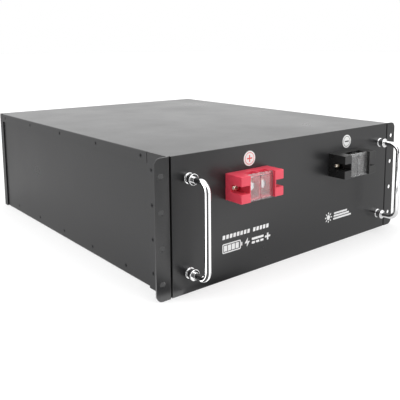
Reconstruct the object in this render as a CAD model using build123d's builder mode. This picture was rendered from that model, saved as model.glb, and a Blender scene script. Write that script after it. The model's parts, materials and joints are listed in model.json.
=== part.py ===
from build123d import *
from math import sqrt
import os

# Server rack battery: a 19-inch, four-unit, 51.2 V lithium iron phosphate battery module.
# Frame: +Z up, front panel faces -Y, origin at the bottom centre of the overall box. Millimetres.

os.makedirs("parts", exist_ok=True)

# ---- driving dimensions -------------------------------------------------------------------

RACK_UNIT = 44.45                 # height of one rack unit, also the pitch of the ear slots
RACK_WIDTH = 482.6                # over the ears
RACK_HOLE_SPACING = 465.1         # between the slots of the two ears
HEIGHT = 177.0                    # four units less the usual gap
CASE_DEPTH = 560.0                # front panel face to rear panel face
HANDLE_REACH = 44.0               # how far the handles stand out of the front panel

SHEET = 1.5                       # steel of tray, top cover and rear panel
PANEL_T = 3.0                     # front panel
EAR_T = 2.0                       # rack ears
TRAY_HALF = 220.2                 # half width over the tray's side walls
GAP = 0.2                         # play between neighbouring sheet metal edges
LIP_GAP = 0.5                     # between the tray's sides and the cover's lips

FRONT_Y = HANDLE_REACH - (CASE_DEPTH + HANDLE_REACH) / 2
REAR_Y = FRONT_Y + CASE_DEPTH
PANEL_BACK = FRONT_Y + PANEL_T
REAR_INNER = REAR_Y - SHEET
TRAY_INNER = TRAY_HALF - SHEET
LIP_INNER = TRAY_HALF + LIP_GAP
LIP_OUTER = LIP_INNER + SHEET     # outer face of the cover's lips and of the rear flanges
TOP_UNDERSIDE = HEIGHT - SHEET

# M3 countersunk case screws
M3_R = 1.5
M3_HEAD_R = 3.0
M3_LENGTH = 8.0
HOLE_PLAY = 0.05                  # radial play of every screw in its hole

# handles
HANDLE_X = 194.5
HANDLE_FEET_Z = (28.0, 148.0)
HANDLE_R = 4.0
HANDLE_BEND = 12.5
FERRULE_R = 7.3
FERRULE_LENGTH = 14.5
FERRULE_ROUND = 0.9               # of the outer edges of the ferrule's two collars
FERRULE_NECK_R = 6.2
FERRULE_COLLARS = ((0.0, 5.4), (11.2, FERRULE_LENGTH))      # from the panel's face
M5_R = 2.5

# terminal blocks: u runs along X, v along Z, both from the block's centre, w out of the panel
POSITIVE_X = -96.0
NEGATIVE_X = 108.5
TERMINAL_Z = 126.5
BLOCK_HALF_U = 37.5
BLOCK_HALF_V = 17.5
BLOCK_W = 31.0
CORE_HALF_U = 23.2                # middle part of the block, between the two notches
RECESS_HALF_U = 21.9              # recess for the cover in the block's front
NOTCH_HALF_V = 5.2
NOTCH_FLOOR = 10.0
FIXING_U = 31.0
BOLT_U = 10.4
CHAMBER_HALF = 8.5
CHAMBER_FLOOR = 9.0               # face on which the copper bar lies
CHAMBER_BOTTOM_V = -14.0
BAR_T = 3.0
BAR_HALF_U = 17.5
BAR_TOP_V = 13.0
POCKET_PLAY = 0.4                 # between the bar's ends and its pocket
LEDGE_W = 24.0                    # floor of the recess, behind the flip-up cover
BOLT_R = 3.0                      # M6
BOLT_FLATS = 10.0
BOLT_HEAD = 4.0
WASHER_R = 6.0
WASHER_T = 1.6
SPRING_WASHER_R = 5.0
SPRING_WASHER_T = 1.6

# flip-up terminal covers
MOVING_GAP = 0.3
RUNNING_PLAY = 0.05
COVER_HALF_U = RECESS_HALF_U - MOVING_GAP - RUNNING_PLAY
COVER_FOOT_V = -18.4
COVER_BACK_W = LEDGE_W + MOVING_GAP
COVER_T = 1.6
RIM_WIDTH = 1.8                   # raised rim round the cover's sides and foot
RIM_T = 0.8
RIB_HALF_U = 0.8                  # upright rib on the middle of the cover's face
BARREL_R = 2.3
PIVOT_W = COVER_BACK_W + COVER_T + RIM_T - BARREL_R - 0.2
PIVOT_V = 15.0
TRUNNION_R = 1.0
TRUNNION_LENGTH = 1.6

# battery pack
CELL = (160.0, 50.0, 118.5)
CELLS_PER_ROW = 8
SEPARATOR = 1.0
END_PLATE = 8.0
ROW_X = 82.0                      # centre of each row of cells
CELL_POST_X = 58.0                # posts either side of the cell's middle
PACK_FRONT = FRONT_Y + 95.0
PACK_FLOOR = SHEET + 2.0
PACK_HALF = ROW_X + CELL[0] / 2
PACK_LENGTH = 2 * (END_PLATE + SEPARATOR) + CELLS_PER_ROW * (CELL[1] + SEPARATOR) - SEPARATOR
CELL_TOP = PACK_FLOOR + CELL[2]
POST_TOP = CELL_TOP + 3.0
LINK_T = 2.0
M6_R = 3.0

# power cables
CABLE_R = 5.0
CABLE_BEND = 18.0
LUG_T = 3.0
LUG_R = 6.5
LUG_BARREL = 18.0
LUG_PALM = 20.0
STUD_Z = 60.0                     # studs of fuse holder and battery management board
STUD_FACE = FRONT_Y + 76.0        # face on which the lugs lie there


# ---- helpers ------------------------------------------------------------------------------

def block(x, y, z, mode=Mode.ADD):
    """A box between the two limits given for each axis."""
    with Locations(((x[0] + x[1]) / 2, (y[0] + y[1]) / 2, (z[0] + z[1]) / 2)):
        Box(abs(x[1] - x[0]), abs(y[1] - y[0]), abs(z[1] - z[0]), mode=mode)


def rod(start, direction, radius, length, mode=Mode.ADD):
    """A round rod of the given length that starts at a point and runs in a direction."""
    with Locations(Plane(origin=start, z_dir=direction)):
        Cylinder(radius, length, align=(Align.CENTER, Align.CENTER, Align.MIN), mode=mode)


def hexagon(start, direction, flats, length):
    """A hexagonal prism with the given width across its flats."""
    with BuildSketch(Plane(origin=start, z_dir=direction)) as outline:
        RegularPolygon(flats / sqrt(3), 6)
    extrude(outline.sketch, amount=length)


def side_planes(reach, places):
    """Planes on the case's two sides, facing outwards, that far from the middle. Each place is
    a distance behind the panel's face and a height."""
    return [
        Plane(origin=(side * reach, FRONT_Y + distance, z), z_dir=(side, 0, 0))
        for side in (-1, 1)
        for distance, z in places
    ]


def cross_recess(size, depth):
    """Cross recess cut into a screw head whose top face is at the local origin."""
    for length, width in ((size, size / 4), (size / 4, size)):
        Box(length, width, depth, align=(Align.CENTER, Align.CENTER, Align.MAX), mode=Mode.SUBTRACT)


# one M3 countersunk screw, its head's top face at the origin and its tip along -Z
with BuildPart(mode=Mode.PRIVATE) as m3_screw:
    Cone(M3_R, M3_HEAD_R, M3_HEAD_R - M3_R, align=(Align.CENTER, Align.CENTER, Align.MAX))
    Cylinder(M3_R, M3_LENGTH, align=(Align.CENTER, Align.CENTER, Align.MAX))
    cross_recess(3.4, 1.0)


def m3_screws(planes):
    """Copies of the countersunk screw, one on each plane."""
    with Locations(*planes):
        add(m3_screw.part)


def m3_countersinks(planes):
    """Countersunk clearance holes in the sheet under each plane."""
    with Locations(*planes):
        CounterSinkHole(M3_R + HOLE_PLAY, M3_HEAD_R + HOLE_PLAY, depth=4.0, counter_sink_angle=90)


def m3_holes(planes):
    """Plain holes in the sheet under each plane."""
    with Locations(*planes):
        Hole(M3_R + HOLE_PLAY, depth=8.0)


# ---- where the case screws are --------------------------------------------------------------

SLOT_ROWS = (-1.5, -0.5, 0.5, 1.5)        # rows of ear slots and ear screws, in rack units

COVER_SCREWS = side_planes(LIP_OUTER, [(60 + 118.25 * k, 170) for k in range(5)])
EAR_SCREWS = side_planes(TRAY_HALF + EAR_T, [(36, HEIGHT / 2 + RACK_UNIT * row) for row in SLOT_ROWS])
SIDE_SCREWS = side_planes(TRAY_HALF, [(107 + 96 * k, 11) for k in range(5)])
REAR_SCREWS = [
    Plane(origin=(x, REAR_Y, z), z_dir=(0, 1, 0))
    for x, z in ((-209, 30), (-209, 88.5), (-209, 147), (209, 30), (209, 88.5), (209, 147),
                 (-120, 9), (0, 9), (120, 9))
]

# ---- case: tray, top cover, rear panel, front panel -------------------------------------------

TRAY_FRONT_FLANGE = 36.0          # carries the handle screws
TRAY_REAR_FLANGE = 20.0
BOTTOM_FLANGE = 15.0
EAR_FLANGE_END = FRONT_Y + 45.0   # rear edge of the ears' side flanges
REAR_FLANGE = 14.0                # rear panel's flanges along the sides
COVER_LIP = 14.3

with BuildPart() as tray:
    block((-TRAY_HALF, TRAY_HALF), (PANEL_BACK, REAR_INNER), (0, SHEET))
    for side in (-1, 1):
        block((side * TRAY_INNER, side * TRAY_HALF), (PANEL_BACK, REAR_INNER), (0, TOP_UNDERSIDE))
        block((side * (TRAY_HALF - TRAY_FRONT_FLANGE), side * TRAY_INNER),
              (PANEL_BACK, PANEL_BACK + SHEET), (SHEET, TOP_UNDERSIDE))
        block((side * (TRAY_HALF - TRAY_REAR_FLANGE), side * TRAY_INNER),
              (REAR_INNER - SHEET, REAR_INNER), (SHEET, TOP_UNDERSIDE))
    for edge in ((PANEL_BACK, PANEL_BACK + SHEET), (REAR_INNER - SHEET, REAR_INNER)):
        block((-TRAY_INNER, TRAY_INNER), edge, (SHEET, BOTTOM_FLANGE))
    fillet(tray.edges().filter_by(Axis.Y).group_by(Axis.Z)[0], 2.0)
    m3_holes(COVER_SCREWS + EAR_SCREWS + REAR_SCREWS)
    m3_countersinks(SIDE_SCREWS)
    for side in (-1, 1):
        for z in HANDLE_FEET_Z:
            rod((side * HANDLE_X, PANEL_BACK - 1, z), (0, 1, 0), M5_R + HOLE_PLAY, 4, Mode.SUBTRACT)
tray.part.label = "chassis_tray"
export_step(tray.part, "parts/chassis_tray.step")

with BuildPart() as cover:
    block((-TRAY_HALF + GAP, TRAY_HALF - GAP), (PANEL_BACK + GAP / 2, EAR_FLANGE_END + 1),
          (TOP_UNDERSIDE, HEIGHT))
    block((-LIP_OUTER, LIP_OUTER), (EAR_FLANGE_END + 1, REAR_Y - REAR_FLANGE - GAP),
          (TOP_UNDERSIDE, HEIGHT))
    block((-TRAY_HALF + GAP, TRAY_HALF - GAP), (REAR_Y - REAR_FLANGE - GAP, REAR_INNER - GAP / 2),
          (TOP_UNDERSIDE, HEIGHT))
    for side in (-1, 1):
        block((side * LIP_INNER, side * LIP_OUTER), (EAR_FLANGE_END + 1, REAR_Y - REAR_FLANGE - GAP),
              (HEIGHT - COVER_LIP, HEIGHT))
    long_edges = cover.edges().filter_by(Axis.Y).group_by(Axis.Z)[-1]
    fillet([edge for edge in long_edges if abs(edge.center().X) > TRAY_HALF], SHEET)
    m3_countersinks(COVER_SCREWS)
cover.part.label = "top_cover"
export_step(cover.part, "parts/top_cover.step")

with BuildPart() as rear:
    block((-LIP_OUTER, LIP_OUTER), (REAR_INNER, REAR_Y), (0, HEIGHT))
    for side in (-1, 1):
        block((side * LIP_INNER, side * LIP_OUTER), (REAR_Y - REAR_FLANGE, REAR_INNER), (0, HEIGHT))
    fillet(rear.edges().filter_by(Axis.Z).group_by(Axis.Y)[-1], SHEET)
    m3_countersinks(REAR_SCREWS)
rear.part.label = "rear_panel"
export_step(rear.part, "parts/rear_panel.step")

BOSS_HALF_U = 17.0                # boss of each terminal block, through the panel
BOSS_V = (-15.0, -5.0)
PANEL_GROOVE = 2.3                # between the panel's edge and the ear
PANEL_HALF = TRAY_HALF - PANEL_GROOVE
PANEL_EDGE = 0.4

with BuildPart() as panel:
    block((-PANEL_HALF, PANEL_HALF), (FRONT_Y, PANEL_BACK), (0, HEIGHT))
    chamfer(panel.faces().sort_by(Axis.Y)[0].edges(), PANEL_EDGE)
    for centre in (POSITIVE_X, NEGATIVE_X):
        window = BOSS_HALF_U + HOLE_PLAY
        block((centre - window, centre + window), (FRONT_Y - 1, PANEL_BACK + 1),
              (TERMINAL_Z + BOSS_V[0] - HOLE_PLAY, TERMINAL_Z + BOSS_V[1] + HOLE_PLAY), Mode.SUBTRACT)
        for side in (-1, 1):
            rod((centre + side * FIXING_U, FRONT_Y - 1, TERMINAL_Z), (0, 1, 0), M5_R + HOLE_PLAY,
                PANEL_T + 2, Mode.SUBTRACT)
    for side in (-1, 1):
        for z in HANDLE_FEET_Z:
            rod((side * HANDLE_X, FRONT_Y - 1, z), (0, 1, 0), M5_R + HOLE_PLAY, PANEL_T + 2, Mode.SUBTRACT)
panel.part.label = "front_panel"
export_step(panel.part, "parts/front_panel.step")

# ---- rack ears: angles screwed to the tray, each with four slots -------------------------------

SLOT_LENGTH = 8.0
SLOT_WIDTH = 6.8
EAR_CORNER = 9.0
EAR_BEND = 1.2

for name, side in (("rack_ear_left", -1), ("rack_ear_right", 1)):
    with BuildPart() as ear:
        block((side * TRAY_HALF, side * (TRAY_HALF + EAR_T)), (FRONT_Y, EAR_FLANGE_END), (0, HEIGHT))
        block((side * TRAY_HALF, side * RACK_WIDTH / 2), (FRONT_Y, FRONT_Y + EAR_T), (0, HEIGHT))
        upright = ear.edges().filter_by(Axis.Z)
        fillet([e for e in upright if abs(e.center().Y - FRONT_Y) < 0.1
                and abs(abs(e.center().X) - TRAY_HALF) < 0.1], EAR_BEND)
        across = ear.edges().filter_by(Axis.Y)
        fillet([e for e in across if abs(abs(e.center().X) - RACK_WIDTH / 2) < 0.1], EAR_CORNER)
        with BuildSketch(Plane(origin=(side * RACK_HOLE_SPACING / 2, FRONT_Y - 1, HEIGHT / 2),
                               x_dir=(1, 0, 0), z_dir=(0, 1, 0))):
            with GridLocations(0, RACK_UNIT, 1, len(SLOT_ROWS)):
                SlotOverall(SLOT_LENGTH, SLOT_WIDTH)
        extrude(amount=EAR_T + 2, mode=Mode.SUBTRACT)
        m3_countersinks([p for p in EAR_SCREWS if p.z_dir.X * side > 0])
    ear.part.label = name
    export_step(ear.part, f"parts/{name}.step")

# ---- case screws -------------------------------------------------------------------------------

for name, planes in (("cover_screws", COVER_SCREWS), ("ear_screws", EAR_SCREWS),
                     ("side_screws", SIDE_SCREWS), ("rear_panel_screws", REAR_SCREWS)):
    with BuildPart() as screws:
        m3_screws(planes)
    screws.part.label = name
    export_step(screws.part, f"parts/{name}.step")

# ---- handles: bent round bar, ferrules round the feet, screws from inside the case -------------

HANDLE_SCREW_DEPTH = 10.0
HANDLE_SCREW_HEAD_R = 4.4
HANDLE_SCREW_HEAD = 3.0
GRIP_Y = FRONT_Y - HANDLE_REACH + HANDLE_R

for name, side in (("handle_left", -1), ("handle_right", 1)):
    with BuildPart() as handle:
        with BuildLine() as route:
            FilletPolyline(
                (side * HANDLE_X, FRONT_Y, HANDLE_FEET_Z[0]),
                (side * HANDLE_X, GRIP_Y, HANDLE_FEET_Z[0]),
                (side * HANDLE_X, GRIP_Y, HANDLE_FEET_Z[1]),
                (side * HANDLE_X, FRONT_Y, HANDLE_FEET_Z[1]),
                radius=HANDLE_BEND,
            )
        with BuildSketch(Plane(origin=route.line @ 0, z_dir=route.line % 0)):
            Circle(HANDLE_R)
        sweep()
        for z in HANDLE_FEET_Z:
            rod((side * HANDLE_X, FRONT_Y, z), (0, -1, 0), M5_R + HOLE_PLAY, HANDLE_SCREW_DEPTH + 2,
                Mode.SUBTRACT)
    handle.part.label = name
    export_step(handle.part, f"parts/{name}.step")

HANDLE_FEET = [(side * HANDLE_X, z) for side in (-1, 1) for z in HANDLE_FEET_Z]

with BuildPart() as ferrules:
    for x, z in HANDLE_FEET:
        for start, end in FERRULE_COLLARS:
            rod((x, FRONT_Y - start, z), (0, -1, 0), FERRULE_R, end - start)
    fronts = ferrules.edges().filter_by(GeomType.CIRCLE)
    fronts = [e for e in fronts if any(abs(e.center().Y - FRONT_Y + end) < 0.1 for _, end in FERRULE_COLLARS)]
    fillet(fronts, FERRULE_ROUND)
    for x, z in HANDLE_FEET:
        rod((x, FRONT_Y, z), (0, -1, 0), FERRULE_NECK_R, FERRULE_LENGTH)
    for x, z in HANDLE_FEET:
        rod((x, FRONT_Y + 1, z), (0, -1, 0), HANDLE_R + HOLE_PLAY, FERRULE_LENGTH + 2, Mode.SUBTRACT)
ferrules.part.label = "handle_ferrules"
export_step(ferrules.part, "parts/handle_ferrules.step")

with BuildPart() as handle_screws:
    for x, z in HANDLE_FEET:
        seat = PANEL_BACK + SHEET
        rod((x, seat, z), (0, 1, 0), HANDLE_SCREW_HEAD_R, HANDLE_SCREW_HEAD)
        rod((x, seat, z), (0, -1, 0), M5_R, PANEL_T + SHEET + HANDLE_SCREW_DEPTH)
handle_screws.part.label = "handle_screws"
export_step(handle_screws.part, "parts/handle_screws.step")

# ---- terminal blocks -----------------------------------------------------------------------------

POLES = (("positive", POSITIVE_X), ("negative", NEGATIVE_X))
LEG_V = (-12.0, -8.0)             # leg of the copper bar, through the panel to the inside
LEG_HALF_U = 14.0
LEG_REACH = 32.0                  # behind the panel's front face
LEG_HOLE = 12.0                   # from the leg's end
EDGE_ROUND = 0.8
BOLT_HOLE_END = 3.0               # blind ends of the bolt holes, from the panel's face
BOLT_TIP = 4.0
LABEL_R = 10.2
LABEL_T = 0.3
LABEL_Z = 158.3
LABEL_SHIFT = 4.0                 # label's centre to the right of the block's centre


def at_block(centre, u, v, w):
    """X, Y and Z limits of a box given in the terminal block's u, v and w."""
    return ([centre + value for value in u], [FRONT_Y - value for value in w],
            [TERMINAL_Z + value for value in v])


for pole, centre in POLES:
    pivot = (centre, FRONT_Y - PIVOT_W, TERMINAL_Z + PIVOT_V)

    # moulded body: fixing notches at both ends, two open-topped chambers in the middle
    with BuildPart() as body:
        block(*at_block(centre, (-BLOCK_HALF_U, BLOCK_HALF_U), (-BLOCK_HALF_V, BLOCK_HALF_V), (0, BLOCK_W)))
        outer = body.edges().filter_by(Axis.Y) + body.edges().group_by(Axis.Y)[0]
        fillet(outer, EDGE_ROUND)
        for side in (-1, 1):
            block(*at_block(centre, (side * CORE_HALF_U, side * (BLOCK_HALF_U + 1)),
                            (-NOTCH_HALF_V, NOTCH_HALF_V), (NOTCH_FLOOR, BLOCK_W + 1)), Mode.SUBTRACT)
            rod((centre + side * FIXING_U, FRONT_Y + 1, TERMINAL_Z), (0, -1, 0), M5_R + HOLE_PLAY,
                NOTCH_FLOOR + 2, Mode.SUBTRACT)
            chamber = (side * (BOLT_U - CHAMBER_HALF), side * (BOLT_U + CHAMBER_HALF))
            block(*at_block(centre, chamber, (CHAMBER_BOTTOM_V, BLOCK_HALF_V + 1),
                            (CHAMBER_FLOOR + BAR_T, BLOCK_W + 1)), Mode.SUBTRACT)
            rod((centre + side * BOLT_U, FRONT_Y - CHAMBER_FLOOR - 1, TERMINAL_Z), (0, 1, 0),
                BOLT_R + HOLE_PLAY, CHAMBER_FLOOR + 1 - BOLT_HOLE_END, Mode.SUBTRACT)
        pocket = BAR_HALF_U + POCKET_PLAY
        block(*at_block(centre, (-pocket, pocket), (LEG_V[0] - HOLE_PLAY, BAR_TOP_V + HOLE_PLAY),
                        (CHAMBER_FLOOR, CHAMBER_FLOOR + BAR_T + HOLE_PLAY)), Mode.SUBTRACT)
        block(*at_block(centre, (-RECESS_HALF_U, RECESS_HALF_U), (-BLOCK_HALF_V - 1, BLOCK_HALF_V + 1),
                        (LEDGE_W, BLOCK_W + 1)), Mode.SUBTRACT)
        rod((centre - RECESS_HALF_U, pivot[1], pivot[2]), (1, 0, 0), BARREL_R + MOVING_GAP,
            2 * RECESS_HALF_U, Mode.SUBTRACT)
        hole_half = COVER_HALF_U + TRUNNION_LENGTH + MOVING_GAP
        rod((centre - hole_half, pivot[1], pivot[2]), (1, 0, 0), TRUNNION_R + RUNNING_PLAY, 2 * hole_half,
            Mode.SUBTRACT)
        block(*at_block(centre, (-BOSS_HALF_U, BOSS_HALF_U), BOSS_V, (-PANEL_T, 0)))
        block(*at_block(centre, (-LEG_HALF_U - HOLE_PLAY, LEG_HALF_U + HOLE_PLAY),
                        (LEG_V[0] - HOLE_PLAY, LEG_V[1] + HOLE_PLAY), (-PANEL_T - 1, CHAMBER_FLOOR + 1)),
              Mode.SUBTRACT)
    body.part.label = f"{pole}_terminal_body"
    export_step(body.part, f"parts/{pole}_terminal_body.step")

    # copper bar: upright plate under both bolts, leg going back through the panel
    with BuildPart() as bar:
        block(*at_block(centre, (-BAR_HALF_U, BAR_HALF_U), (LEG_V[0], BAR_TOP_V),
                        (CHAMBER_FLOOR, CHAMBER_FLOOR + BAR_T)))
        block(*at_block(centre, (-LEG_HALF_U, LEG_HALF_U), LEG_V, (-LEG_REACH, CHAMBER_FLOOR + BAR_T)))
        for side in (-1, 1):
            rod((centre + side * BOLT_U, FRONT_Y - CHAMBER_FLOOR - BAR_T - 1, TERMINAL_Z), (0, 1, 0),
                BOLT_R + HOLE_PLAY, BAR_T + 2, Mode.SUBTRACT)
        rod((centre, FRONT_Y + LEG_REACH - LEG_HOLE, TERMINAL_Z + LEG_V[0] - 1), (0, 0, 1),
            BOLT_R + HOLE_PLAY, LEG_V[1] - LEG_V[0] + 2, Mode.SUBTRACT)
    bar.part.label = f"{pole}_terminal_bar"
    export_step(bar.part, f"parts/{pole}_terminal_bar.step")

    # clear flip-up cover: rimmed plate with a rib, pivot barrel with trunnions along its top
    with BuildPart() as flap:
        block(*at_block(centre, (-COVER_HALF_U, COVER_HALF_U), (COVER_FOOT_V, PIVOT_V),
                        (COVER_BACK_W, COVER_BACK_W + COVER_T + RIM_T)))
        fillet(flap.edges().filter_by(Axis.Y).group_by(Axis.Z)[0], RIM_WIDTH)
        fillet(flap.faces().sort_by(Axis.Y)[0].edges().filter_by(Plane.XY, reverse=True), RIM_T / 2)
        block(*at_block(centre, (RIM_WIDTH - COVER_HALF_U, COVER_HALF_U - RIM_WIDTH),
                        (COVER_FOOT_V + RIM_WIDTH, PIVOT_V),
                        (COVER_BACK_W + COVER_T, COVER_BACK_W + COVER_T + RIM_T + 1)), Mode.SUBTRACT)
        block(*at_block(centre, (-RIB_HALF_U, RIB_HALF_U), (COVER_FOOT_V + RIM_WIDTH / 2, PIVOT_V),
                        (COVER_BACK_W, COVER_BACK_W + COVER_T + RIM_T)))
        rod((centre - COVER_HALF_U, pivot[1], pivot[2]), (1, 0, 0), BARREL_R, 2 * COVER_HALF_U)
        pin_half = COVER_HALF_U + TRUNNION_LENGTH
        rod((centre - pin_half, pivot[1], pivot[2]), (1, 0, 0), TRUNNION_R, 2 * pin_half)
    flap.part.label = f"{pole}_terminal_cover"
    export_step(flap.part, f"parts/{pole}_terminal_cover.step")

    # round polarity label on the panel above the block
    with BuildPart() as label:
        rod((centre + LABEL_SHIFT, FRONT_Y, LABEL_Z), (0, -1, 0), LABEL_R, LABEL_T)
    label.part.label = f"{pole}_label"
    export_step(label.part, f"parts/{pole}_label.step")

BOLT_X = [centre + side * BOLT_U for _, centre in POLES for side in (-1, 1)]
FIXING_X = [centre + side * FIXING_U for _, centre in POLES for side in (-1, 1)]
WASHER_Y = FRONT_Y - CHAMBER_FLOOR - BAR_T
BOLT_SEAT = WASHER_Y - WASHER_T - SPRING_WASHER_T
SPRING_SPLIT = 1.0

with BuildPart() as bolts:
    for x in BOLT_X:
        hexagon((x, BOLT_SEAT, TERMINAL_Z), (0, -1, 0), BOLT_FLATS, BOLT_HEAD)
    crowns = bolts.faces().group_by(Axis.Y)[0].edges()
    chamfer(crowns, 0.5)
    for x in BOLT_X:
        rod((x, BOLT_SEAT, TERMINAL_Z), (0, 1, 0), BOLT_R, FRONT_Y - BOLT_TIP - BOLT_SEAT)
bolts.part.label = "terminal_bolts"
export_step(bolts.part, "parts/terminal_bolts.step")

with BuildPart() as washers:
    for x in BOLT_X:
        rod((x, WASHER_Y, TERMINAL_Z), (0, -1, 0), WASHER_R, WASHER_T)
        rod((x, WASHER_Y + 1, TERMINAL_Z), (0, -1, 0), BOLT_R + HOLE_PLAY, WASHER_T + 2, Mode.SUBTRACT)
washers.part.label = "terminal_washers"
export_step(washers.part, "parts/terminal_washers.step")

with BuildPart() as spring_washers:
    for x in BOLT_X:
        rod((x, WASHER_Y - WASHER_T, TERMINAL_Z), (0, -1, 0), SPRING_WASHER_R, SPRING_WASHER_T)
        rod((x, WASHER_Y, TERMINAL_Z), (0, -1, 0), BOLT_R + HOLE_PLAY, WASHER_T + SPRING_WASHER_T + 1,
            Mode.SUBTRACT)
        block((x + BOLT_R - 1, x + SPRING_WASHER_R + 1), (WASHER_Y - 6, WASHER_Y),
              (TERMINAL_Z - SPRING_SPLIT / 2, TERMINAL_Z + SPRING_SPLIT / 2), Mode.SUBTRACT)
spring_washers.part.label = "terminal_spring_washers"
export_step(spring_washers.part, "parts/terminal_spring_washers.step")

FIXING_HEAD_R = 4.6
FIXING_HEAD = 3.5
FIXING_DOME = 2.2
FIXING_SEAT = FRONT_Y - NOTCH_FLOOR

with BuildPart() as fixings:
    for x in FIXING_X:
        rod((x, FIXING_SEAT, TERMINAL_Z), (0, -1, 0), FIXING_HEAD_R, FIXING_HEAD)
    fillet(fixings.edges().filter_by(GeomType.CIRCLE).group_by(Axis.Y)[0], FIXING_DOME)
    for x in FIXING_X:
        rod((x, FIXING_SEAT, TERMINAL_Z), (0, 1, 0), M5_R, NOTCH_FLOOR + PANEL_T + 5)
    with Locations(*[Plane(origin=(x, FIXING_SEAT - FIXING_HEAD, TERMINAL_Z), z_dir=(0, -1, 0))
                     for x in FIXING_X]):
        cross_recess(4.8, 1.8)
fixings.part.label = "terminal_mounting_screws"
export_step(fixings.part, "parts/terminal_mounting_screws.step")

with BuildPart() as fixing_nuts:
    for x in FIXING_X:
        hexagon((x, PANEL_BACK, TERMINAL_Z), (0, 1, 0), 8.0, 4.0)
        rod((x, PANEL_BACK - 1, TERMINAL_Z), (0, 1, 0), M5_R + HOLE_PLAY, 6, Mode.SUBTRACT)
fixing_nuts.part.label = "terminal_mounting_nuts"
export_step(fixing_nuts.part, "parts/terminal_mounting_nuts.step")

# ---- cells: two rows of eight, standing on edge behind each other --------------------------------

CELL_PITCH = CELL[1] + SEPARATOR
FIRST_CELL_Y = PACK_FRONT + END_PLATE + SEPARATOR + CELL[1] / 2
CELL_CENTRES = [(-ROW_X, FIRST_CELL_Y + CELL_PITCH * k) for k in range(CELLS_PER_ROW)]
CELL_CENTRES += [(ROW_X, FIRST_CELL_Y + CELL_PITCH * k) for k in reversed(range(CELLS_PER_ROW))]

for number, (x, y) in enumerate(CELL_CENTRES, start=1):
    with BuildPart() as cell:
        block((x - CELL[0] / 2, x + CELL[0] / 2), (y - CELL[1] / 2, y + CELL[1] / 2),
              (PACK_FLOOR, CELL_TOP))
        fillet(cell.edges().filter_by(Axis.Z), 3.0)
        rod((x, y, CELL_TOP), (0, 0, -1), 9.0, 0.5, Mode.SUBTRACT)
        for side in (-1, 1):
            post = (x + side * CELL_POST_X, y, CELL_TOP)
            rod(post, (0, 0, 1), 11.0, 1.0)
            rod(post, (0, 0, 1), 9.0, POST_TOP - CELL_TOP)
            rod(post, (0, 0, 1), M6_R, 12.0)
    cell.part.label = f"cell_{number:02d}"
    export_step(cell.part, f"parts/cell_{number:02d}.step")

PACK_REAR = PACK_FRONT + PACK_LENGTH

with BuildPart() as separators:
    for row in (-1, 1):
        for k in range(1, CELLS_PER_ROW):
            y = FIRST_CELL_Y + CELL_PITCH * (k - 0.5)
            block((row * (ROW_X - 79), row * (ROW_X + 79)), (y - SEPARATOR / 2, y + SEPARATOR / 2),
                  (PACK_FLOOR, CELL_TOP - 2))
    for y in (PACK_FRONT + END_PLATE, PACK_REAR - END_PLATE - SEPARATOR):
        block((-PACK_HALF, PACK_HALF), (y, y + SEPARATOR), (PACK_FLOOR, CELL_TOP - 2))
    divider = ROW_X - CELL[0] / 2
    block((-divider, divider), (PACK_FRONT + END_PLATE + SEPARATOR, PACK_REAR - END_PLATE - SEPARATOR),
          (PACK_FLOOR, CELL_TOP - 2))
separators.part.label = "cell_separators"
export_step(separators.part, "parts/cell_separators.step")

with BuildPart() as end_plates:
    for y in (PACK_FRONT, PACK_REAR - END_PLATE):
        block((-PACK_HALF, PACK_HALF), (y, y + END_PLATE), (PACK_FLOOR, CELL_TOP))
    uprights = end_plates.edges().filter_by(Axis.Z).group_by(Axis.Y)
    fillet(list(uprights[0]) + list(uprights[-1]), 3.0)
end_plates.part.label = "end_plates"
export_step(end_plates.part, "parts/end_plates.step")

BAND_T = 0.8
BAND_WIDTH = 16.0

with BuildPart() as bands:
    for z in (12.0, 98.0):
        with BuildSketch(Plane(origin=(0, (PACK_FRONT + PACK_REAR) / 2, z))) as ring:
            RectangleRounded(2 * (PACK_HALF + BAND_T), PACK_LENGTH + 2 * BAND_T, 3.0 + BAND_T)
            RectangleRounded(2 * PACK_HALF, PACK_LENGTH, 3.0, mode=Mode.SUBTRACT)
        extrude(amount=BAND_WIDTH)
bands.part.label = "compression_bands"
export_step(bands.part, "parts/compression_bands.step")

# links join each cell's second post to the next cell's first post, and one crosses between rows
LINKS = []
for row in (-1, 1):
    inner, outer_post = row * (ROW_X - CELL_POST_X), row * (ROW_X + CELL_POST_X)
    for k in range(CELLS_PER_ROW - 1):
        post_x = outer_post if k % 2 == 0 else inner
        near_y = FIRST_CELL_Y + CELL_PITCH * k
        LINKS.append(((post_x, near_y), (post_x, near_y + CELL_PITCH)))
last_y = FIRST_CELL_Y + CELL_PITCH * (CELLS_PER_ROW - 1)
LINKS.append(((CELL_POST_X - ROW_X, last_y), (ROW_X - CELL_POST_X, last_y)))
PACK_POSTS = [(CELL_POST_X - ROW_X, FIRST_CELL_Y), (ROW_X - CELL_POST_X, FIRST_CELL_Y)]
LINK_HALF = 9.0

with BuildPart() as links:
    for (x0, y0), (x1, y1) in LINKS:
        block((x0 - LINK_HALF, x1 + LINK_HALF), (y0 - LINK_HALF, y1 + LINK_HALF),
              (POST_TOP, POST_TOP + LINK_T))
        for x, y in ((x0, y0), (x1, y1)):
            rod((x, y, POST_TOP - 1), (0, 0, 1), M6_R + HOLE_PLAY, 4, Mode.SUBTRACT)
links.part.label = "cell_links"
export_step(links.part, "parts/cell_links.step")

with BuildPart() as link_nuts:
    seats = [(x, y, POST_TOP + LINK_T) for link in LINKS for x, y in link]
    seats += [(x, y, POST_TOP + LUG_T) for x, y in PACK_POSTS]
    for seat in seats:
        hexagon(seat, (0, 0, 1), 10.0, 5.0)
        rod((seat[0], seat[1], seat[2] - 1), (0, 0, 1), M6_R + HOLE_PLAY, 7, Mode.SUBTRACT)
link_nuts.part.label = "link_nuts"
export_step(link_nuts.part, "parts/link_nuts.step")

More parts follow.
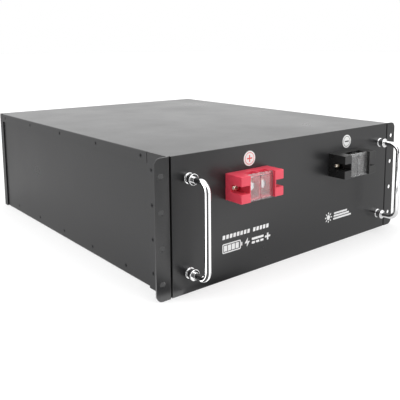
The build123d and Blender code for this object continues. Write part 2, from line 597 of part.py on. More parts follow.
with BuildPart() as base_insulator:
    block((-PACK_HALF, PACK_HALF), (PACK_FRONT, PACK_REAR), (SHEET, PACK_FLOOR))
base_insulator.part.label = "pack_base_insulator"
export_step(base_insulator.part, "parts/pack_base_insulator.step")

INSULATOR_Z = CELL_TOP + 18.0     # underside of the insulator over the cells
INSULATOR_T = 1.5

with BuildPart() as top_insulator:
    block((-PACK_HALF, PACK_HALF), (PACK_FRONT, PACK_REAR), (INSULATOR_Z, INSULATOR_Z + INSULATOR_T))
    for side in (-1, 1):
        block((side * (PACK_HALF - INSULATOR_T), side * PACK_HALF), (PACK_FRONT, PACK_REAR),
              (CELL_TOP, INSULATOR_Z))
    block((-PACK_HALF, PACK_HALF), (PACK_REAR - INSULATOR_T, PACK_REAR), (CELL_TOP, INSULATOR_Z))
top_insulator.part.label = "pack_top_insulator"
export_step(top_insulator.part, "parts/pack_top_insulator.step")

# channel rails along both sides: the outer web takes the side screws, the inner web holds the pack
RAIL_T = 2.0
RAIL_WEB = PACK_HALF + BAND_T + 0.7
RAIL_Y = (PACK_FRONT, PACK_FRONT + 408.0)
RAIL_INNER_TOP = 34.0
RAIL_OUTER_TOP = 24.0

with BuildPart() as rails:
    for side in (-1, 1):
        block((side * RAIL_WEB, side * TRAY_INNER), RAIL_Y, (SHEET, SHEET + RAIL_T))
        block((side * RAIL_WEB, side * (RAIL_WEB + RAIL_T)), RAIL_Y, (SHEET, RAIL_INNER_TOP))
        block((side * (TRAY_INNER - RAIL_T), side * TRAY_INNER), RAIL_Y, (SHEET, RAIL_OUTER_TOP))
    m3_holes(SIDE_SCREWS)
rails.part.label = "pack_rails"
export_step(rails.part, "parts/pack_rails.step")

# ---- battery management board on its aluminium plate, in front of the pack ----------------------

BMS_X = (-8.0, 150.0)
BMS_BOARD_Y = (FRONT_Y + 82.0, FRONT_Y + 83.6)
BMS_BOARD_Z = (27.0, 108.0)
BMS_PLATE_Y = PACK_FRONT - 5.0    # front face of the plate
BMS_PLATE_Z = (30.0, 97.0)
FIN_X = 34.0                      # first cooling fin
FIN_STEP = 5.5
FIN_T = 2.0
FIN_Z = (36.0, 90.0)
FINS = 12
TRANSISTOR_X = 38.0               # first power transistor
TRANSISTOR_STEP = 10.5
TRANSISTORS = 6
STUD_BOSS_R = 6.0
STUD_LENGTH = 12.0                # in front of the lug's face
BMS_STUD_X = (PACK_POSTS[1][0], NEGATIVE_X)
CONNECTOR_TOP = 106.0             # top of the board's balance connector
BMS_CORNERS = [(x, z) for x in (-3.0, 145.0) for z in (36.0, 92.0)]

with BuildPart() as bms_plate:
    block(BMS_X, (BMS_PLATE_Y, PACK_FRONT), BMS_PLATE_Z)
    for x, z in BMS_CORNERS:                          # spacers under the board
        rod((x, BMS_PLATE_Y, z), (0, -1, 0), 3.0, BMS_PLATE_Y - BMS_BOARD_Y[1])
    for k in range(FINS):
        x = FIN_X + FIN_STEP * k
        block((x, x + FIN_T), (BMS_PLATE_Y - 5, BMS_PLATE_Y), FIN_Z)
bms_plate.part.label = "bms_heatsink_plate"
export_step(bms_plate.part, "parts/bms_heatsink_plate.step")

with BuildPart() as bms_board:
    block(BMS_X, BMS_BOARD_Y, BMS_BOARD_Z)
    for k in range(TRANSISTORS):
        x = TRANSISTOR_X + TRANSISTOR_STEP * k
        block((x, x + 8), (BMS_BOARD_Y[0] - 4, BMS_BOARD_Y[0]), (68, 80))
    for x in BMS_STUD_X:                              # negative studs
        rod((x, BMS_BOARD_Y[0], STUD_Z), (0, -1, 0), STUD_BOSS_R, BMS_BOARD_Y[0] - STUD_FACE)
        rod((x, BMS_BOARD_Y[0], STUD_Z), (0, -1, 0), M6_R, BMS_BOARD_Y[0] - STUD_FACE + STUD_LENGTH)
    block((-6, 6), (BMS_BOARD_Y[0] - 12, BMS_BOARD_Y[0]), (CONNECTOR_TOP - 8, CONNECTOR_TOP))
    block((118, 140), (BMS_BOARD_Y[0] - 3, BMS_BOARD_Y[0]), (84, 100))       # controller
bms_board.part.label = "bms_board"
export_step(bms_board.part, "parts/bms_board.step")

# ---- main fuse -----------------------------------------------------------------------------------

FUSE_STUD_X = (PACK_POSTS[0][0], POSITIVE_X)
FUSE_BLADE = 2.0
HOLDER_Y = PACK_FRONT - 12.0      # front face of the fuse holder's base
HOLDER_X = (-112.0, -10.0)
HOLDER_Z = (42.0, 78.0)

with BuildPart() as fuse_holder:
    block(HOLDER_X, (HOLDER_Y, PACK_FRONT), HOLDER_Z)
    for x in FUSE_STUD_X:
        rod((x, HOLDER_Y, STUD_Z), (0, -1, 0), STUD_BOSS_R, HOLDER_Y - STUD_FACE - FUSE_BLADE)
        rod((x, HOLDER_Y, STUD_Z), (0, -1, 0), M6_R, HOLDER_Y - STUD_FACE + STUD_LENGTH)
fuse_holder.part.label = "fuse_holder"
export_step(fuse_holder.part, "parts/fuse_holder.step")

with BuildPart() as fuse:
    block((FUSE_STUD_X[1] - 8, FUSE_STUD_X[0] + 8), (STUD_FACE, STUD_FACE + FUSE_BLADE),
          (STUD_Z - 8, STUD_Z + 8))
    block((-80, -40), (STUD_FACE - 5, STUD_FACE + FUSE_BLADE + 4.5), (STUD_Z - 11, STUD_Z + 11))
    for x in FUSE_STUD_X:
        rod((x, STUD_FACE - 1, STUD_Z), (0, 1, 0), M6_R + HOLE_PLAY, 4, Mode.SUBTRACT)
fuse.part.label = "main_fuse"
export_step(fuse.part, "parts/main_fuse.step")

# ---- power cables: pack to fuse or board, fuse or board to terminal bar ---------------------------

TAIL_Y = STUD_FACE - LUG_R                        # the cables' upright runs
TAIL_Z = STUD_Z + LUG_PALM / 2 + LUG_BARREL       # their lower ends, in the lugs
PACK_LUG_Z = POST_TOP
BAR_LUG_Z = TERMINAL_Z + LEG_V[1]
BAR_HOLE_Y = FRONT_Y + LEG_REACH - LEG_HOLE


def lug(hole, out, up, hole_radius):
    """A cable lug: palm round the hole, barrel pointing out, palm's outer side facing up."""
    hole, out, up = Vector(hole), Vector(out), Vector(up)
    across = out.cross(up)
    half = LUG_PALM / 2
    low = hole - out * half - across * LUG_R
    high = hole + out * half + across * LUG_R + up * LUG_T
    block((low.X, high.X), (low.Y, high.Y), (low.Z, high.Z))
    rod(hole + out * (half - 0.5) + up * LUG_R, out, LUG_R, LUG_BARREL + 0.5)
    rod(hole + out * (half + 3) + up * LUG_R, out, CABLE_R + HOLE_PLAY, LUG_BARREL, Mode.SUBTRACT)
    rod(hole - up, up, hole_radius, LUG_T + 2, Mode.SUBTRACT)


PACK_LUG_END = FIRST_CELL_Y - LUG_PALM / 2 - LUG_BARREL
BAR_LUG_END = BAR_HOLE_Y + LUG_PALM / 2 + LUG_BARREL
INSERT = 14.0                                     # length of cable inside each barrel

for name, pack_x, bar_x in (("positive_cables", PACK_POSTS[0][0], POSITIVE_X),
                            ("negative_cables", PACK_POSTS[1][0], NEGATIVE_X)):
    with BuildPart() as cables:
        for x, start_y, top_z in ((pack_x, PACK_LUG_END + INSERT, PACK_LUG_Z + LUG_R),
                                  (bar_x, BAR_LUG_END - INSERT, BAR_LUG_Z + LUG_R)):
            with BuildLine() as route:
                FilletPolyline((x, start_y, top_z), (x, TAIL_Y, top_z), (x, TAIL_Y, TAIL_Z - INSERT),
                               radius=CABLE_BEND)
            with BuildSketch(Plane(origin=route.line @ 0, z_dir=route.line % 0)):
                Circle(CABLE_R)
            sweep()
    cables.part.label = name
    export_step(cables.part, f"parts/{name}.step")

with BuildPart() as lugs:
    for x, y in PACK_POSTS:
        lug((x, y, PACK_LUG_Z), (0, -1, 0), (0, 0, 1), M6_R + HOLE_PLAY)
    for _, x in POLES:
        lug((x, BAR_HOLE_Y, BAR_LUG_Z), (0, 1, 0), (0, 0, 1), BOLT_R + HOLE_PLAY)
    for x in FUSE_STUD_X + BMS_STUD_X:
        lug((x, STUD_FACE, STUD_Z), (0, 0, 1), (0, -1, 0), M6_R + HOLE_PLAY)
lugs.part.label = "cable_lugs"
export_step(lugs.part, "parts/cable_lugs.step")

with BuildPart() as lug_fasteners:
    for x in FUSE_STUD_X + BMS_STUD_X:                # nuts on the studs
        hexagon((x, STUD_FACE - LUG_T, STUD_Z), (0, -1, 0), 10.0, 5.0)
        rod((x, STUD_FACE, STUD_Z), (0, -1, 0), M6_R + HOLE_PLAY, 12, Mode.SUBTRACT)
    for _, x in POLES:                                # bolts through the terminal bars' legs
        hexagon((x, BAR_HOLE_Y, BAR_LUG_Z + LUG_T), (0, 0, 1), BOLT_FLATS, BOLT_HEAD)
        rod((x, BAR_HOLE_Y, BAR_LUG_Z + LUG_T), (0, 0, -1), BOLT_R, 16)
lug_fasteners.part.label = "lug_fasteners"
export_step(lug_fasteners.part, "parts/lug_fasteners.step")

# ---- balance harness: sleeved loom between the rows of cells, down to the board -------------------

HARNESS_R = 2.0
HARNESS_Y = BMS_BOARD_Y[0] - 6
HARNESS_Z = CELL_TOP + HARNESS_R
HARNESS_END = last_y - LINK_HALF - 5

with BuildPart() as harness:
    with BuildLine() as route:
        FilletPolyline((0, HARNESS_END, HARNESS_Z), (0, HARNESS_Y, HARNESS_Z),
                       (0, HARNESS_Y, CONNECTOR_TOP), radius=10)
    with BuildSketch(Plane(origin=route.line @ 0, z_dir=route.line % 0)):
        Circle(HARNESS_R)
    sweep()
harness.part.label = "balance_harness"
export_step(harness.part, "parts/balance_harness.step")
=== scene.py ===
"""Server rack battery: looks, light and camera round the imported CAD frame. Metres, +Z up, front faces -Y."""
import json
import math

import bmesh
import bpy
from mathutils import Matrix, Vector


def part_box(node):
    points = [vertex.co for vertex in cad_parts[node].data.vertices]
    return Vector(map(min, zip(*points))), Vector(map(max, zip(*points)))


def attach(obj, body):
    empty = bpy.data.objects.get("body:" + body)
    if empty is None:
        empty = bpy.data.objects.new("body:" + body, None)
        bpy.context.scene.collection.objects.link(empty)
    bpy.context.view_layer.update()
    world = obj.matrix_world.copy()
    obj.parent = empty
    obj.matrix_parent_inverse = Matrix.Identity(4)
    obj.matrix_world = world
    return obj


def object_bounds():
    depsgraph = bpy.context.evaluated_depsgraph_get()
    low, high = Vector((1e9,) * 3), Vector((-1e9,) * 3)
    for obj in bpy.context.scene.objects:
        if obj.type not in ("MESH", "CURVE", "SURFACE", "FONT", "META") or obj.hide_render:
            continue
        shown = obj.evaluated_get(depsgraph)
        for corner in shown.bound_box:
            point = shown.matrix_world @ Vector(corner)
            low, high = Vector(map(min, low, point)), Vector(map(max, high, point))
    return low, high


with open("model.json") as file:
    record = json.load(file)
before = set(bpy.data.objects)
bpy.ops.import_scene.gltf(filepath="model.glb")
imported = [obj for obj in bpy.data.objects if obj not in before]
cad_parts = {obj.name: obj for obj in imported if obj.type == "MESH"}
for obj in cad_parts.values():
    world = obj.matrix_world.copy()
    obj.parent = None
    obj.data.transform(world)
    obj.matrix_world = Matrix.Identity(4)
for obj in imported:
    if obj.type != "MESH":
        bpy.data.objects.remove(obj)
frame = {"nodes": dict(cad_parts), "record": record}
CAD_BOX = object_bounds()
NODES = frame["nodes"]
MM = 0.001

# ---- camera: three quarters from the left of the front ----------------------------------------------------

SENSOR = 36.0                         # millimetres
LENS = 51.903                         # millimetres
SHIFT = (-0.0815, -0.175)             # share of the picture's width, to frame the whole case
CLIP = (0.05, 60.0)
CAMERA_AT = (-0.5989, -0.8107, 0.3096)
CAMERA_AZIMUTH = -40.82
CAMERA_ELEVATION = 8.6


def make_camera():
    data = bpy.data.cameras.new("camera")
    data.sensor_width = SENSOR
    data.lens = LENS
    data.shift_x, data.shift_y = SHIFT
    data.clip_start, data.clip_end = CLIP
    camera = bpy.data.objects.new("camera", data)
    azimuth, elevation = math.radians(CAMERA_AZIMUTH), math.radians(CAMERA_ELEVATION)
    back = Vector((math.sin(azimuth) * math.cos(elevation), -math.cos(azimuth) * math.cos(elevation),
                   math.sin(elevation)))
    camera.location = CAMERA_AT
    camera.rotation_mode = "QUATERNION"
    camera.rotation_quaternion = (-back).to_track_quat("-Z", "Y")
    bpy.context.scene.collection.objects.link(camera)
    bpy.context.scene.camera = camera


# ---- small helpers for node trees -------------------------------------------------------------------------

class Tree:
    """A material's node tree with short ways to add and link nodes."""

    def __init__(self, name):
        self.material = bpy.data.materials.new(name)
        self.material.use_nodes = True
        self.tree = self.material.node_tree
        self.shader = self.tree.nodes["Principled BSDF"]
        coordinates = self.tree.nodes.new("ShaderNodeTexCoord")
        self.position = coordinates.outputs["Object"]

    def set(self, **values):
        """Plain values on the shader's own sockets; an underscore in a key stands for a space."""
        for key, value in values.items():
            self.shader.inputs[key.replace("_", " ")].default_value = value
        return self

    def link(self, output, target):
        self.tree.links.new(output, self.shader.inputs[target] if isinstance(target, str) else target)

    def noise(self, scale, detail=3.0, roughness=0.55, vector=None):
        node = self.tree.nodes.new("ShaderNodeTexNoise")
        node.inputs["Scale"].default_value = scale
        node.inputs["Detail"].default_value = detail
        node.inputs["Roughness"].default_value = roughness
        self.tree.links.new(vector or self.position, node.inputs["Vector"])
        return node.outputs["Fac"]

    def ramp(self, value, low, high, out_low, out_high):
        """Maps low..high to out_low..out_high, clamped."""
        node = self.tree.nodes.new("ShaderNodeMapRange")
        for key, number in (("From Min", low), ("From Max", high), ("To Min", out_low), ("To Max", out_high)):
            node.inputs[key].default_value = number
        self.tree.links.new(value, node.inputs["Value"])
        return node.outputs["Result"]

    def mix(self, factor, first, second):
        node = self.tree.nodes.new("ShaderNodeMix")
        node.data_type = "RGBA"
        self.tree.links.new(factor, node.inputs["Factor"])
        for value, socket in ((first, node.inputs[6]), (second, node.inputs[7])):
            if isinstance(value, tuple):
                socket.default_value = (*value, 1.0)
            else:
                self.tree.links.new(value, socket)
        return node.outputs[2]

    def bump(self, height, strength, distance):
        node = self.tree.nodes.new("ShaderNodeBump")
        node.inputs["Strength"].default_value = strength
        node.inputs["Distance"].default_value = distance
        self.tree.links.new(height, node.inputs["Height"])
        self.link(node.outputs["Normal"], "Normal")


# ---- materials --------------------------------------------------------------------------------------------

def powder_coat():
    """Satin black powder coat: fine orange peel, dust-grey speckle, slightly uneven gloss."""
    t = Tree("black_powder_coat").set(IOR=1.5)
    fine = t.noise(1500.0, detail=2.0)
    peel = t.noise(420.0, detail=2.0)
    patches = t.noise(9.0, detail=4.0)
    speckle = t.ramp(fine, 0.42, 0.72, 0.0, 1.0)
    t.link(t.mix(speckle, (0.0135, 0.0135, 0.0142), (0.022, 0.022, 0.023)), "Base Color")
    t.link(t.ramp(patches, 0.3, 0.7, 0.27, 0.33), "Roughness")
    both = t.tree.nodes.new("ShaderNodeMath")
    both.operation = "ADD"
    t.tree.links.new(t.ramp(fine, 0.0, 1.0, 0.0, 0.45), both.inputs[0])
    t.tree.links.new(peel, both.inputs[1])
    t.bump(both.outputs[0], 0.35, 0.00012)
    return t.material


def chrome():
    """Polished chrome with faint draw lines and a breath of haze."""
    t = Tree("handle_chrome").set(Metallic=1.0, Base_Color=(0.9, 0.9, 0.905, 1.0))
    haze = t.noise(70.0, detail=4.0)
    t.link(t.ramp(haze, 0.35, 0.75, 0.035, 0.09), "Roughness")
    return t.material


def metal(name, colour, tint, rough, grain=600.0, bump=0.00002):
    """Plated or bare metal with a fine grain and uneven tarnish between two colours."""
    t = Tree(name).set(Metallic=1.0)
    stain = t.noise(55.0, detail=5.0)
    t.link(t.mix(t.ramp(stain, 0.35, 0.7, 0.0, 1.0), colour, tint), "Base Color")
    t.link(t.ramp(stain, 0.3, 0.7, rough * 0.8, rough * 1.25), "Roughness")
    t.bump(t.noise(grain, detail=3.0), 0.3, bump)
    return t.material


def moulded(name, colour, second, rough, grain=900.0, depth=0.00003, ior=1.5):
    """Moulded plastic: fine spark-eroded grain, slight colour and gloss variation."""
    t = Tree(name).set(IOR=ior)
    clouds = t.noise(28.0, detail=3.0)
    t.link(t.mix(t.ramp(clouds, 0.35, 0.65, 0.0, 1.0), colour, second), "Base Color")
    t.link(t.ramp(clouds, 0.3, 0.7, rough * 0.85, rough * 1.15), "Roughness")
    t.bump(t.noise(grain, detail=2.0), 0.3, depth)
    return t.material


def clear_plastic():
    """Clear polycarbonate with faint moulding waves and a little haze."""
    t = Tree("clear_plastic").set(
        Base_Color=(0.97, 0.975, 0.975, 1.0), Transmission_Weight=0.94, IOR=1.52,
    )
    waves = t.noise(90.0, detail=1.0)
    t.link(t.ramp(waves, 0.3, 0.7, 0.02, 0.07), "Roughness")
    t.bump(waves, 0.15, 0.0001)
    return t.material


def fibre(name, colour, second, rough):
    """Woven sheet or sleeve: crossed fine threads."""
    t = Tree(name)
    weave = t.tree.nodes.new("ShaderNodeTexWave")
    weave.inputs["Scale"].default_value = 900.0
    weave.inputs["Distortion"].default_value = 1.5
    t.tree.links.new(t.position, weave.inputs["Vector"])
    t.link(t.mix(weave.outputs["Fac"], colour, second), "Base Color")
    t.link(t.ramp(t.noise(60.0), 0.3, 0.7, rough * 0.85, rough * 1.15), "Roughness")
    t.bump(weave.outputs["Fac"], 0.3, 0.00005)
    return t.material


MATERIALS = {
    "black_powder_coat": powder_coat(),
    "handle_chrome": chrome(),
    "black_screws": metal("black_screws", (0.035, 0.035, 0.037), (0.07, 0.07, 0.072), 0.32),
    "zinc_steel": metal("zinc_steel", (0.72, 0.73, 0.75), (0.58, 0.59, 0.60), 0.24),
    "plated_screws": metal("plated_screws", (0.86, 0.80, 0.70), (0.72, 0.64, 0.52), 0.24),
    "red_plastic": moulded("red_plastic", (0.76, 0.062, 0.102), (0.70, 0.054, 0.090), 0.32),
    "black_plastic": moulded("black_plastic", (0.010, 0.010, 0.010), (0.016, 0.016, 0.016), 0.30),
    "clear_plastic": clear_plastic(),
    "copper": metal("copper", (0.90, 0.52, 0.36), (0.70, 0.36, 0.24), 0.26),
    "tinned_copper": metal("tinned_copper", (0.80, 0.79, 0.77), (0.66, 0.65, 0.63), 0.32),
    "label_film": moulded("label_film", (0.82, 0.82, 0.81), (0.78, 0.78, 0.77), 0.45,
                          grain=1400.0, depth=0.00001),
    "cell_casing": moulded("cell_casing", (0.03, 0.10, 0.36), (0.025, 0.08, 0.30), 0.30, grain=260.0),
    "insulation_board": fibre("insulation_board", (0.62, 0.64, 0.40), (0.52, 0.55, 0.33), 0.5),
    "bare_aluminium": metal("bare_aluminium", (0.80, 0.81, 0.82), (0.70, 0.71, 0.72), 0.36),
    "circuit_board": moulded("circuit_board", (0.010, 0.10, 0.045), (0.014, 0.13, 0.060), 0.35, grain=300.0),
    "fuse_moulding": moulded("fuse_moulding", (0.05, 0.05, 0.055), (0.07, 0.07, 0.075), 0.45),
    "red_cable": moulded("red_cable", (0.50, 0.014, 0.014), (0.42, 0.010, 0.010), 0.5, grain=500.0),
    "black_cable": moulded("black_cable", (0.014, 0.014, 0.014), (0.024, 0.024, 0.024), 0.5, grain=500.0),
    "harness_sleeve": fibre("harness_sleeve", (0.012, 0.012, 0.012), (0.05, 0.05, 0.05), 0.6),
}


def paint_nodes():
    """Gives each CAD node the material of its slot in the record."""
    for row in frame["record"]["subparts"]:
        mesh = NODES[row["node"]].data
        mesh.materials.clear()
        mesh.materials.append(MATERIALS[row["material_slot"]])


# ---- printed marks ----------------------------------------------------------------------------------------

PANEL_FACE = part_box("front_panel")[0].y
INK_T = 0.04 * MM


def ink(name, colour, second):
    """Matt printing ink, almost flat."""
    return moulded(name, colour, second, 0.45, grain=1600.0, depth=0.00001)


INK = ink("white_ink", (0.80, 0.80, 0.80), (0.74, 0.74, 0.74))
RED_INK = ink("red_ink", (0.72, 0.055, 0.035), (0.66, 0.045, 0.030))
BLACK_INK = ink("black_ink", (0.020, 0.020, 0.020), (0.030, 0.030, 0.030))


def flat_piece(name, loops, face_y, thickness, material):
    """A thin piece on a face that looks along -Y; each loop is a list of (x, z) in millimetres."""
    mesh = bpy.data.meshes.new(name)
    work = bmesh.new()
    for loop in loops:
        corners = [work.verts.new((x * MM, face_y - thickness, z * MM)) for x, z in loop]
        work.faces.new(corners)
    bmesh.ops.remove_doubles(work, verts=list(work.verts), dist=1e-6)
    front = list(work.faces)
    bmesh.ops.recalc_face_normals(work, faces=front)
    result = bmesh.ops.extrude_face_region(work, geom=front)
    back = [item for item in result["geom"] if isinstance(item, bmesh.types.BMVert)]
    bmesh.ops.translate(work, verts=back, vec=(0, thickness, 0))
    bmesh.ops.recalc_face_normals(work, faces=list(work.faces))
    work.to_mesh(mesh)
    work.free()
    mesh.materials.append(material)
    piece = bpy.data.objects.new(name, mesh)
    bpy.context.scene.collection.objects.link(piece)
    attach(piece, "chassis")
    return piece


def rounded(x, z, width, height, radius=0.5, slant=0.0):
    """Outline of a rounded rectangle from its lower left corner; slant leans its top to the right."""
    points = []
    left, right = x + radius, x + width - radius
    low, high = z + radius, z + height - radius
    for corner_x, corner_z, start in ((right, low, -90), (right, high, 0), (left, high, 90), (left, low, 180)):
        for k in range(5):
            angle = math.radians(start + 22.5 * k)
            point_z = corner_z + radius * math.sin(angle)
            points.append((corner_x + radius * math.cos(angle) + slant * (point_z - z), point_z))
    return points


def band(outer, inner):
    """Quads between two outlines with the same number of points."""
    count = len(outer)
    return [[outer[k], outer[(k + 1) % count], inner[(k + 1) % count], inner[k]] for k in range(count)]


def circle(x, z, radius, steps=48):
    return [(x + radius * math.cos(2 * math.pi * k / steps), z + radius * math.sin(2 * math.pi * k / steps))
            for k in range(steps)]


def plus(x, z, arm, width):
    """Outline of a plus sign round a centre."""
    half = width / 2
    return [(x + half, z + half), (x + half, z + arm), (x - half, z + arm), (x - half, z + half),
            (x - arm, z + half), (x - arm, z - half), (x - half, z - half), (x - half, z - arm),
            (x + half, z - arm), (x + half, z - half), (x + arm, z - half), (x + arm, z + half)]


def battery_sign(x, z, width, height, line=1.5, bars=4):
    """Battery pictogram: outline, terminal and slanted charge bars."""
    loops = band(rounded(x, z, width, height, 1.8),
                 rounded(x + line, z + line, width - 2 * line, height - 2 * line, 0.6))
    loops.append(rounded(x + width + 0.7, z + height * 0.3, 2.0, height * 0.4, 0.6))
    space = width - 2 * line - 2.0
    for k in range(bars):
        loops.append(rounded(x + line + 1.0 + k * space / bars, z + line + 1.1, space / bars - 1.1,
                             height - 2 * line - 2.2, 0.4))
    return loops


def bolt_sign(x, z, width, height):
    """Lightning flash in two convex halves."""
    return [[(x + 0.62 * width, z + height), (x, z + 0.42 * height), (x + 0.52 * width, z + 0.42 * height)],
            [(x + 0.38 * width, z), (x + width, z + 0.58 * height), (x + 0.48 * width, z + 0.58 * height)]]


def direct_current_sign(x, z, width, height):
    """One long stroke over three short ones."""
    stroke = 0.24 * height
    short = width / 3 - 1.4
    loops = [rounded(x, z + 0.56 * height, width, stroke)]
    loops += [rounded(x + k * (short + 2.1), z + 0.16 * height, short, stroke) for k in range(3)]
    return loops


def sun_sign(x, z, radius, rays=8):
    """Sun pictogram: disc and tapered rays."""
    loops = [circle(x, z, 0.46 * radius, 32)]
    for k in range(rays):
        angle = 2 * math.pi * k / rays
        across = 0.11 * radius
        ray = []
        for reach, side in ((0.62, -1.4), (1.0, -0.7), (1.0, 0.7), (0.62, 1.4)):
            ray.append((x + radius * reach * math.cos(angle) - side * across * math.sin(angle),
                        z + radius * reach * math.sin(angle) + side * across * math.cos(angle)))
        loops.append(ray)
    return loops


SMALL_ROW_Z, SMALL_ROW_H = 56.0, 5.6
LARGE_ROW_Z, LARGE_ROW_H = 37.0, 13.0
ROW_LEFT = -139.0
GAUGE_STEP, GAUGE_WIDTH = 6.2, 4.4
GAUGE_GROUPS = ((0.0, 8), (54.0, 5))  # start of each group of bars, and their number
SUN_AT, SUN_RADIUS = (73.5, 43.5), 8.2
BARS_AT, BARS_LENGTH = (85.0, 37.6), 44.0


def print_marks():
    """Plain pictograms on the panel, polarity signs on the two labels."""
    small = [rounded(ROW_LEFT + start + GAUGE_STEP * k, SMALL_ROW_Z, GAUGE_WIDTH, SMALL_ROW_H, 0.7, slant=0.12)
             for start, count in GAUGE_GROUPS for k in range(count)]
    bars = [rounded(BARS_AT[0] + 0.9 * k, BARS_AT[1] + 4.3 * k, BARS_LENGTH - 6.0 * k, 2.9, 0.5)
            for k in range(3)]
    middle = LARGE_ROW_Z + LARGE_ROW_H / 2
    for name, loops in (
        ("printed_gauge", small),
        ("printed_battery_sign", battery_sign(ROW_LEFT, LARGE_ROW_Z, 32.0, LARGE_ROW_H)),
        ("printed_flash_sign", bolt_sign(ROW_LEFT + 39.0, LARGE_ROW_Z, 9.5, LARGE_ROW_H)),
        ("printed_dc_sign", direct_current_sign(ROW_LEFT + 52.0, LARGE_ROW_Z, 22.0, LARGE_ROW_H)),
        ("printed_plus_sign", [plus(ROW_LEFT + 82.0, middle, 5.0, 2.8)]),
        ("printed_sun_sign", sun_sign(*SUN_AT, SUN_RADIUS)),
        ("printed_bars", bars),
    ):
        flat_piece(name, loops, PANEL_FACE, INK_T, INK)
    for pole, sign_ink in (("positive", RED_INK), ("negative", BLACK_INK)):
        low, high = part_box(f"{pole}_label")
        x, z = (low.x + high.x) / 2 / MM, (low.z + high.z) / 2 / MM
        radius = (high.x - low.x) / 2 / MM
        sign = band(circle(x, z, 0.80 * radius), circle(x, z, 0.73 * radius))
        sign.append(plus(x, z, 0.46 * radius, 1.7) if pole == "positive"
                    else rounded(x - 0.46 * radius, z - 0.95, 0.92 * radius, 1.9, 0.2))
        flat_piece(f"{pole}_label_sign", sign, low.y, INK_T, sign_ink)


# ---- studio: a ring of softboxes and dark flags round the object ------------------------------------------

LIGHT = 1.2                           # brightness of the plain parts of the ring
RING = (                              # degrees round from the front, positive towards +X, and share of LIGHT
    (-136, 0.8), (-126, 3.2), (-86, 3.2),         # softbox on the left
    (-78, 0.14), (-10, 0.14),                     # dark flag round the camera
    (-2, 2.2), (27, 2.2),                         # softbox in front
    (32, 0.05), (39, 0.05),                       # narrow flag
    (43, 1.9), (52, 1.9), (62, 1.15), (80, 0.8),  # softbox on the right
    (90, 0.15), (103, 0.15), (112, 1.0),          # dark flag on the right
)
RING_TOP = max(share for degrees, share in RING)
RING_CENTRE = (-0.19, -0.27)          # the ring is laid out round the left handle's ferrules
CEILING = 1.5                         # the ceiling's share
RING_END, CEILING_START = 35.0, 55.0  # degrees above the horizon; one fades into the other between them
FLOOR_HALF, FLOOR_Z = 14.0, -0.0002
FLOOR_OWN_LIGHT = 0.46                # keeps the floor white away from the contact shadow
FLOOR_PAINTED_REFLECTION = 0.75                     # the floor's glow is a painted reflection of this much of the ring
FLOOR_SHADE_REACH = ((0.0, 0.8), (0.10, 1.0), (0.45, 1.0), (1.3, 0.72))     # metres from the case, share of glow; the lower share next to the case is painted shade
FRONT_PAINTED_LIGHT = 1.0                      # painted light: least share of the floor's glow close before the front
PAINTED_LIGHT_AHEAD = ((-0.06, 0.0), (-0.044, 1.0), (0.04, 1.0), (0.15, 0.0))  # metres before the handles, weight of the painted light
PAINTED_LIGHT_SIDE = ((-0.14, 0.0), (-0.06, 1.0))                              # metres along X, weight of the painted light


def ramp_of(tree, value, stops, low, high, top=1.0):
    """A grey ramp over low..high from (place, grey) stops, as shares of the top grey."""
    place = tree.nodes.new("ShaderNodeMapRange")
    place.inputs["From Min"].default_value = low
    place.inputs["From Max"].default_value = high
    tree.links.new(value, place.inputs["Value"])
    ramp = tree.nodes.new("ShaderNodeValToRGB")
    tree.links.new(place.outputs["Result"], ramp.inputs["Fac"])
    elements = ramp.color_ramp.elements
    for element, (_, grey) in zip(elements, (stops[0], stops[-1])):
        element.color = (grey / top, grey / top, grey / top, 1.0)
    for at, grey in stops:
        element = elements.new((at - low) / (high - low))
        element.color = (grey / top, grey / top, grey / top, 1.0)
    return ramp.outputs["Color"]


def math_node(tree, operation, *values):
    node = tree.nodes.new("ShaderNodeMath")
    node.operation = operation
    for socket, value in zip(node.inputs, values):
        if isinstance(value, float):
            socket.default_value = value
        else:
            tree.links.new(value, socket)
    return node.outputs[0]


def ring_of_light(tree, x, y):
    """The ring's grey in a direction seen from its centre, as a share of RING_TOP."""
    angle = math_node(tree, "ARCTAN2", x, math_node(tree, "MULTIPLY", y, -1.0))
    degrees = math_node(tree, "MULTIPLY", angle, 180.0 / math.pi)
    return ramp_of(tree, degrees, RING, -180.0, 180.0, RING_TOP)


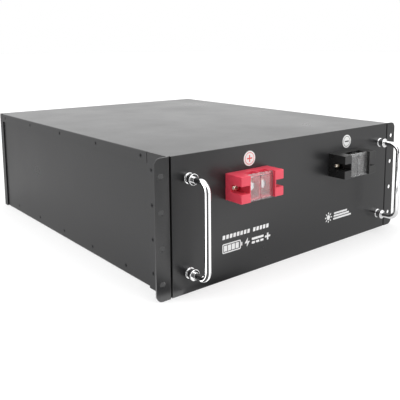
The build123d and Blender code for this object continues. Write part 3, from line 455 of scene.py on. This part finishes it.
def make_floor():
    """A wide white floor with a soft contact shadow; its glow, seen only by the object, is a painted
    reflection of the ring of light, with painted shade next to the case and a painted patch of light before
    the front.
    """
    mesh = bpy.data.meshes.new("studio_floor")
    corners = ((-1, -1), (1, -1), (1, 1), (-1, 1))
    mesh.from_pydata([(FLOOR_HALF * x, FLOOR_HALF * y, FLOOR_Z) for x, y in corners], [], [(0, 1, 2, 3)])
    floor = bpy.data.objects.new("studio_floor", mesh)
    t = Tree("studio_floor").set(Roughness=0.9, Emission_Strength=FLOOR_OWN_LIGHT, Emission_Color=(1, 1, 1, 1),
                                 Specular_IOR_Level=0.0)
    t.link(t.mix(t.noise(3.0), (0.52, 0.52, 0.52), (0.53, 0.53, 0.53)), "Base Color")
    tree = t.tree
    place = tree.nodes.new("ShaderNodeVectorMath")
    place.operation = "SUBTRACT"
    place.inputs[1].default_value = (*RING_CENTRE, 0.0)
    tree.links.new(t.position, place.inputs[0])
    axes = tree.nodes.new("ShaderNodeSeparateXYZ")
    tree.links.new(place.outputs[0], axes.inputs[0])
    here = tree.nodes.new("ShaderNodeSeparateXYZ")
    tree.links.new(t.position, here.inputs[0])
    half = [max(abs(low), abs(high)) for low, high in zip(CAD_BOX[0], CAD_BOX[1])]
    beyond = [math_node(tree, "SUBTRACT", math_node(tree, "ABSOLUTE", here.outputs[axis]), half[axis])
              for axis in (0, 1)]
    reach = math_node(tree, "MAXIMUM", *beyond)
    # Painted shade: the floor's glow is dimmer close to the case.
    shade_fade = ramp_of(tree, reach, FLOOR_SHADE_REACH, 0.0, FLOOR_SHADE_REACH[-1][0])
    ahead = math_node(tree, "SUBTRACT", math_node(tree, "MULTIPLY", here.outputs[1], -1.0), half[1])
    # Painted light: a patch of the floor's glow just before the front is lifted to at least the front share.
    painted_light_patch = math_node(tree, "MULTIPLY",
                      ramp_of(tree, ahead, PAINTED_LIGHT_AHEAD, PAINTED_LIGHT_AHEAD[0][0], PAINTED_LIGHT_AHEAD[-1][0]),
                      ramp_of(tree, here.outputs[0], PAINTED_LIGHT_SIDE, PAINTED_LIGHT_SIDE[0][0], PAINTED_LIGHT_SIDE[-1][0]))
    both = tree.nodes.new("ShaderNodeMix")
    both.data_type = "RGBA"
    both.blend_type = "LIGHTEN"
    tree.links.new(painted_light_patch, both.inputs["Factor"])
    tree.links.new(ring_of_light(tree, axes.outputs["X"], axes.outputs["Y"]), both.inputs[6])
    both.inputs[7].default_value = (FRONT_PAINTED_LIGHT / RING_TOP, FRONT_PAINTED_LIGHT / RING_TOP, FRONT_PAINTED_LIGHT / RING_TOP, 1.0)
    # The glow is painted light: a painted reflection of the ring, seen only by rays that are not the camera's.
    painted_glow = tree.nodes.new("ShaderNodeEmission")
    tree.links.new(math_node(tree, "MULTIPLY", shade_fade, LIGHT * RING_TOP * FLOOR_PAINTED_REFLECTION), painted_glow.inputs["Strength"])
    tree.links.new(both.outputs[2], painted_glow.inputs["Color"])
    seen = tree.nodes.new("ShaderNodeLightPath")
    either = tree.nodes.new("ShaderNodeMixShader")
    tree.links.new(seen.outputs["Is Camera Ray"], either.inputs["Fac"])
    tree.links.new(painted_glow.outputs[0], either.inputs[1])
    tree.links.new(t.shader.outputs[0], either.inputs[2])
    tree.links.new(either.outputs[0], tree.nodes["Material Output"].inputs["Surface"])
    mesh.materials.append(t.material)
    bpy.context.scene.collection.objects.link(floor)


def make_light():
    """The ring of light up to 35 degrees, a brighter ceiling above it, and plain white behind the picture."""
    world = bpy.data.worlds.new("studio")
    bpy.context.scene.world = world
    world.use_nodes = True
    tree = world.node_tree
    background = tree.nodes["Background"]
    direction = tree.nodes.new("ShaderNodeTexCoord")
    axes = tree.nodes.new("ShaderNodeSeparateXYZ")
    tree.links.new(direction.outputs["Generated"], axes.inputs[0])
    ring = ring_of_light(tree, axes.outputs["X"], axes.outputs["Y"])
    height = tree.nodes.new("ShaderNodeMapRange")
    height.inputs["From Min"].default_value = math.sin(math.radians(RING_END))
    height.inputs["From Max"].default_value = math.sin(math.radians(CEILING_START))
    tree.links.new(axes.outputs["Z"], height.inputs["Value"])
    upper = tree.nodes.new("ShaderNodeMix")
    upper.data_type = "RGBA"
    tree.links.new(height.outputs["Result"], upper.inputs["Factor"])
    tree.links.new(ring, upper.inputs[6])
    upper.inputs[7].default_value = (CEILING / RING_TOP, CEILING / RING_TOP, CEILING / RING_TOP, 1.0)
    seen = tree.nodes.new("ShaderNodeLightPath")
    picture = tree.nodes.new("ShaderNodeMix")
    picture.data_type = "RGBA"
    tree.links.new(seen.outputs["Is Camera Ray"], picture.inputs["Factor"])
    tree.links.new(upper.outputs[2], picture.inputs[6])
    white = 1.0 / (LIGHT * RING_TOP)
    picture.inputs[7].default_value = (white, white, white, 1.0)
    tree.links.new(picture.outputs[2], background.inputs["Color"])
    background.inputs["Strength"].default_value = LIGHT * RING_TOP


make_camera()
make_light()
make_floor()
paint_nodes()
print_marks()

view = bpy.context.scene.view_settings
view.view_transform = "Standard"
view.look = "None"
